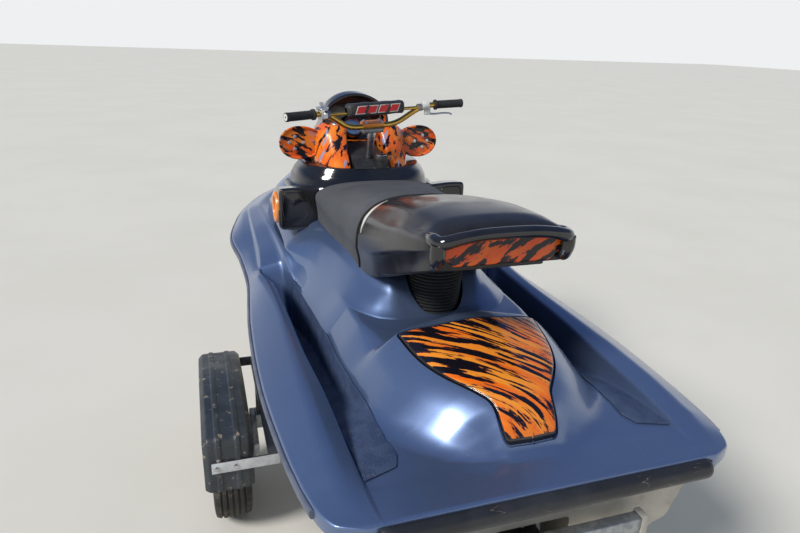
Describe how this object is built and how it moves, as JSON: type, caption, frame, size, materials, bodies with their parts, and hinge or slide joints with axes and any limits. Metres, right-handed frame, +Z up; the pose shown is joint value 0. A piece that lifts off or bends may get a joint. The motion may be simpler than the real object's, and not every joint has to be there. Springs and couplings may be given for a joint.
{
  "type": "personal watercraft on its road trailer",
  "caption": "Sport personal watercraft with a floating saddle, motocross-style bars and jet drive, parked on its small galvanised road trailer.",
  "frame": {"origin": "on the ground under the middle of the whole outfit's box", "axes": "+Y forward to the bow and the tow coupling, +X to starboard, +Z up"},
  "size_m": [1.472, 3.575, 1.514],
  "materials": {
    "deck_paint": "metallic slate blue gelcoat with clear coat",
    "hull_gel": "weathered pale gelcoat",
    "black_gloss": "polished black moulding",
    "black_plastic": "moulded black plastic",
    "striped_wrap": "orange and black striped vinyl wrap",
    "seat_grip": "grey textured marine vinyl",
    "seat_vinyl": "black glossy vinyl",
    "vent_orange": "orange moulding",
    "rubber": "matt black rubber",
    "rail_grey": "light grey vinyl strip",
    "bar_gold": "gold anodised",
    "alloy": "machined alloy",
    "engine_alloy": "cast alloy",
    "stainless": "stainless steel",
    "galvanised": "galvanised steel",
    "tyre": "worn black rubber",
    "rim_paint": "silver painted steel",
    "carpet": "dark marine carpet",
    "webbing": "off-white woven webbing",
    "winch_paint": "zinc plated steel"
  },
  "bodies": {
    "craft": {"hull": "hull_gel", "deck": "deck_paint", "engine": "engine_alloy", "console": "deck_paint", "bow_cowl": "deck_paint", "seat_base": "black_plastic", "seat_tail": "seat_vinyl", "seat_pad": "seat_grip", "tail_panel": "striped_wrap", "grab_handle": "black_gloss", "bellows": "rubber", "collar": "black_gloss", "pillars": "striped_wrap", "side_pods": "black_gloss", "vent_rings": "vent_orange", "column_base": "black_plastic", "fuel_cap": "black_plastic", "gauge_hood": "black_gloss", "mirrors": "striped_wrap", "rub_rails": "rail_grey", "stern_bumper": "rubber", "pump_housing": "alloy", "ride_plate": "alloy", "intake_grate": "alloy", "bow_eye": "stainless", "spine": "galvanised", "cross_beams": "galvanised", "side_rails": "galvanised", "braces": "galvanised", "bunks": "carpet", "bunk_posts": "galvanised", "axle_arms": "galvanised", "mudguards": "black_plastic", "guard_brackets": "galvanised", "rear_bar": "galvanised", "winch_post": "galvanised", "bow_stop": "rubber", "winch": "winch_paint", "winch_strap": "webbing", "coupling": "galvanised", "jockey_clamp": "galvanised", "stern_strap": "webbing"},
    "hatch": {"front_hatch": "deck_paint"},
    "cover": {"rear_cover": "striped_wrap"},
    "bars": {"handlebar": "bar_gold", "bar_pad": "black_plastic", "grips": "rubber", "bar_controls": "alloy", "steering_stem": "alloy"},
    "nozzle": {"steering_nozzle": "black_plastic"},
    "impeller_shaft": {"impeller": "stainless"},
    "wheel_left": {"rim_left": "rim_paint", "tyre_left": "tyre"},
    "wheel_right": {"rim_right": "rim_paint", "tyre_right": "tyre"},
    "jockey_slider": {"jockey_stem": "galvanised"},
    "jockey_caster": {"jockey_fork": "galvanised"},
    "jockey_roller": {"jockey_wheel": "rubber"}
  },
  "joints": [
    {"name": "steering", "type": "hinge", "parent": "craft", "child": "bars", "pos_m": [0, -0.2275, 1.402], "axis": [0, -0.2924, 0.9563], "range_deg": [-40.4, 19.6]},
    {"name": "nozzle_turn", "type": "hinge", "parent": "craft", "child": "nozzle", "pos_m": [0, -1.6405, 0.58], "axis": [0, 0, 1], "range_deg": [-13.07, 26.93]},
    {"name": "impeller_spin", "type": "hinge", "parent": "craft", "child": "impeller_shaft", "pos_m": [0, -1.4075, 0.58], "axis": [0, 1, 0], "continuous": true},
    {"name": "hatch_hinge", "type": "hinge", "parent": "craft", "child": "hatch", "pos_m": [0, 0.7055, 1.0588], "axis": [-1, 0, 0], "range_deg": [0, 65]},
    {"name": "cover_hinge", "type": "hinge", "parent": "craft", "child": "cover", "pos_m": [0, -1.2675, 1.0386], "axis": [-1, 0, 0], "range_deg": [0, 60]},
    {"name": "wheel_left_spin", "type": "hinge", "parent": "craft", "child": "wheel_left", "pos_m": [-0.652, -0.6125, 0.243], "axis": [1, 0, 0], "continuous": true},
    {"name": "wheel_right_spin", "type": "hinge", "parent": "craft", "child": "wheel_right", "pos_m": [0.652, -0.6125, 0.243], "axis": [1, 0, 0], "continuous": true},
    {"name": "jockey_slide", "type": "slide", "parent": "craft", "child": "jockey_slider", "axis": [0, 0, 1], "range_m": [0, 0.11]},
    {"name": "jockey_swivel", "type": "hinge", "parent": "jockey_slider", "child": "jockey_caster", "pos_m": [0.084, 1.3275, 0.2], "axis": [0, 0, 1], "continuous": true},
    {"name": "jockey_roll", "type": "hinge", "parent": "jockey_caster", "child": "jockey_roller", "pos_m": [0.084, 1.2855, 0.092], "axis": [1, 0, 0], "continuous": true}
  ],
  "couplings": [
    {"joint": "nozzle_turn", "follows": "steering", "ratio": -0.66667}
  ]
}
